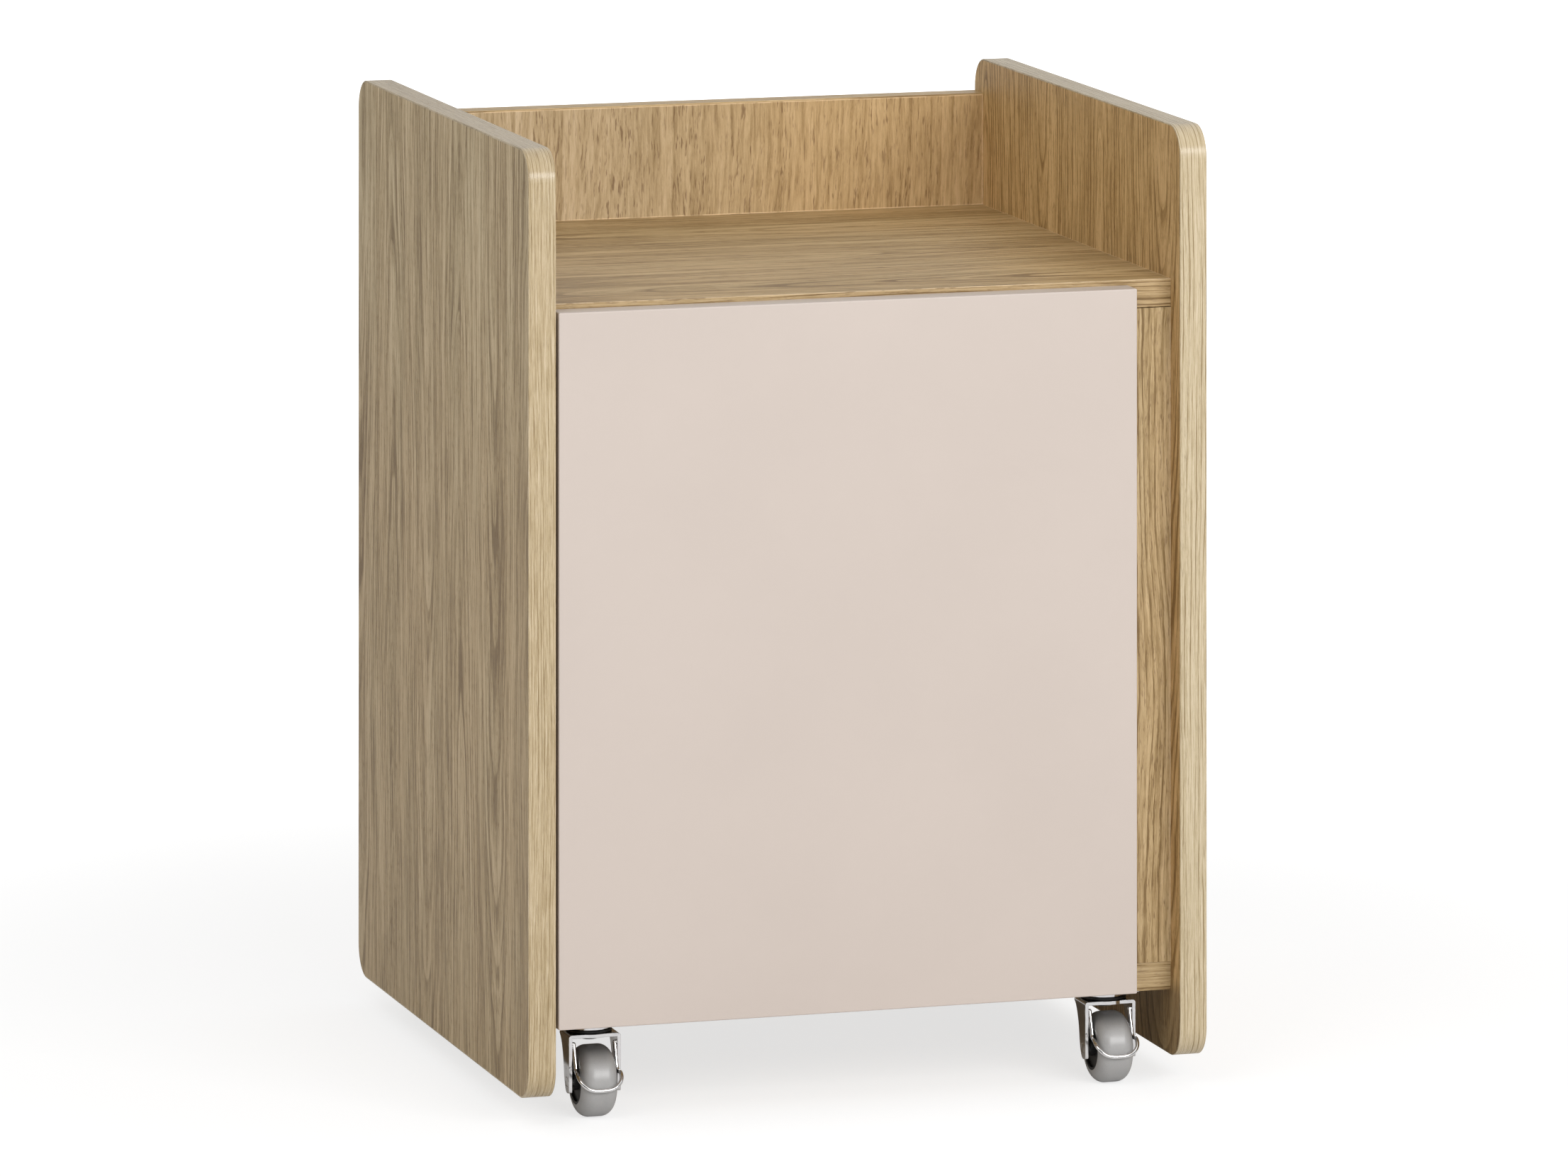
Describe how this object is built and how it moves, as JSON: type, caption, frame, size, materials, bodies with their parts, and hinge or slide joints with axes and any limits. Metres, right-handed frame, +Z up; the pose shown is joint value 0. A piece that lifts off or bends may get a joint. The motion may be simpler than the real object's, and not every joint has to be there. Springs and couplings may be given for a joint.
{
  "type": "bedside cabinet",
  "caption": "Low bedside cabinet in oak-decor board with a gallery top, a left-hinged handle-less door, an inner shelf and swivel casters, the front ones with wire brakes.",
  "frame": {"origin": "on the floor under the centre of the footprint, midway between the side panels and between their front and rear edges", "axes": "+Z up, +X to the right seen from the front, the door faces -Y"},
  "size_m": [0.45, 0.422, 0.615],
  "materials": {
    "oak_board": "satin",
    "oak_edge": "satin",
    "door_pink": "satin",
    "door_edge": "satin",
    "dowel": "matte",
    "zinc": "satin",
    "nickel": "polished",
    "bumper": "matte",
    "black_plastic": "satin",
    "grey_tyre": "matte",
    "chrome": "polished"
  },
  "bodies": {
    "carcass": {"back_panel": "oak_board", "back_panel_edge": "oak_edge", "bottom_board": "oak_board", "bottom_board_edge": "oak_edge", "cam_bolts": "zinc", "cam_housings": "zinc", "caster_plate_front_left": "chrome", "caster_plate_front_right": "chrome", "caster_plate_rear_left": "chrome", "caster_plate_rear_right": "chrome", "caster_screws": "zinc", "catch_magnets": "zinc", "dowels": "dowel", "grip_stile": "oak_board", "hinge_arm_lower": "nickel", "hinge_arm_upper": "nickel", "hinge_plate_lower": "nickel", "hinge_plate_upper": "nickel", "hinge_screws": "zinc", "inner_shelf": "oak_board", "inner_shelf_edge": "oak_edge", "king_pins": "chrome", "shelf_pins": "zinc", "side_edge_band_left": "oak_edge", "side_edge_band_right": "oak_edge", "side_panel_left": "oak_board", "side_panel_right": "oak_board", "swivel_seal_front_left": "black_plastic", "swivel_seal_front_right": "black_plastic", "swivel_seal_rear_left": "black_plastic", "swivel_seal_rear_right": "black_plastic", "top_shelf": "oak_board", "top_shelf_edge": "oak_edge"},
    "door": {"door_panel": "door_pink", "door_edge_band": "door_edge", "hinge_cup_lower": "nickel", "hinge_cup_upper": "nickel", "cup_screws": "zinc", "strike_discs": "zinc", "door_bumpers": "bumper"},
    "swivel_front_left": {"fork_front_left": "chrome", "axle_front_left": "chrome"},
    "wheel_front_left": {"hub_front_left": "black_plastic", "tyre_front_left": "grey_tyre"},
    "brake_front_left": {"brake_wire_front_left": "chrome"},
    "swivel_front_right": {"fork_front_right": "chrome", "axle_front_right": "chrome"},
    "wheel_front_right": {"hub_front_right": "black_plastic", "tyre_front_right": "grey_tyre"},
    "brake_front_right": {"brake_wire_front_right": "chrome"},
    "swivel_rear_left": {"fork_rear_left": "chrome", "axle_rear_left": "chrome"},
    "wheel_rear_left": {"hub_rear_left": "black_plastic", "tyre_rear_left": "grey_tyre"},
    "swivel_rear_right": {"fork_rear_right": "chrome", "axle_rear_right": "chrome"},
    "wheel_rear_right": {"hub_rear_right": "black_plastic", "tyre_rear_right": "grey_tyre"}
  },
  "joints": [
    {"name": "door_hinge", "type": "hinge", "parent": "carcass", "child": "door", "pos_m": [-0.2022, -0.209, 0.2884], "axis": [0, 0, -1], "range_deg": [0, 110]},
    {"name": "swivel_front_left", "type": "hinge", "parent": "carcass", "child": "swivel_front_left", "pos_m": [-0.1718, -0.162, 0.0513], "axis": [0, 0, 1], "continuous": true},
    {"name": "spin_front_left", "type": "hinge", "parent": "swivel_front_left", "child": "wheel_front_left", "pos_m": [-0.1718, -0.171, 0.0225], "axis": [1, 0, 0], "continuous": true},
    {"name": "brake_front_left", "type": "hinge", "parent": "swivel_front_left", "child": "brake_front_left", "pos_m": [-0.1718, -0.1742, 0.0465], "axis": [-1, 0, 0], "range_deg": [0, 35]},
    {"name": "swivel_front_right", "type": "hinge", "parent": "carcass", "child": "swivel_front_right", "pos_m": [0.1718, -0.162, 0.0513], "axis": [0, 0, 1], "continuous": true},
    {"name": "spin_front_right", "type": "hinge", "parent": "swivel_front_right", "child": "wheel_front_right", "pos_m": [0.1718, -0.171, 0.0225], "axis": [1, 0, 0], "continuous": true},
    {"name": "brake_front_right", "type": "hinge", "parent": "swivel_front_right", "child": "brake_front_right", "pos_m": [0.1718, -0.1742, 0.0465], "axis": [-1, 0, 0], "range_deg": [0, 35]},
    {"name": "swivel_rear_left", "type": "hinge", "parent": "carcass", "child": "swivel_rear_left", "pos_m": [-0.1718, 0.162, 0.0513], "axis": [0, 0, 1], "continuous": true},
    {"name": "spin_rear_left", "type": "hinge", "parent": "swivel_rear_left", "child": "wheel_rear_left", "pos_m": [-0.1718, 0.153, 0.0225], "axis": [1, 0, 0], "continuous": true},
    {"name": "swivel_rear_right", "type": "hinge", "parent": "carcass", "child": "swivel_rear_right", "pos_m": [0.1718, 0.162, 0.0513], "axis": [0, 0, 1], "continuous": true},
    {"name": "spin_rear_right", "type": "hinge", "parent": "swivel_rear_right", "child": "wheel_rear_right", "pos_m": [0.1718, 0.153, 0.0225], "axis": [1, 0, 0], "continuous": true}
  ]
}
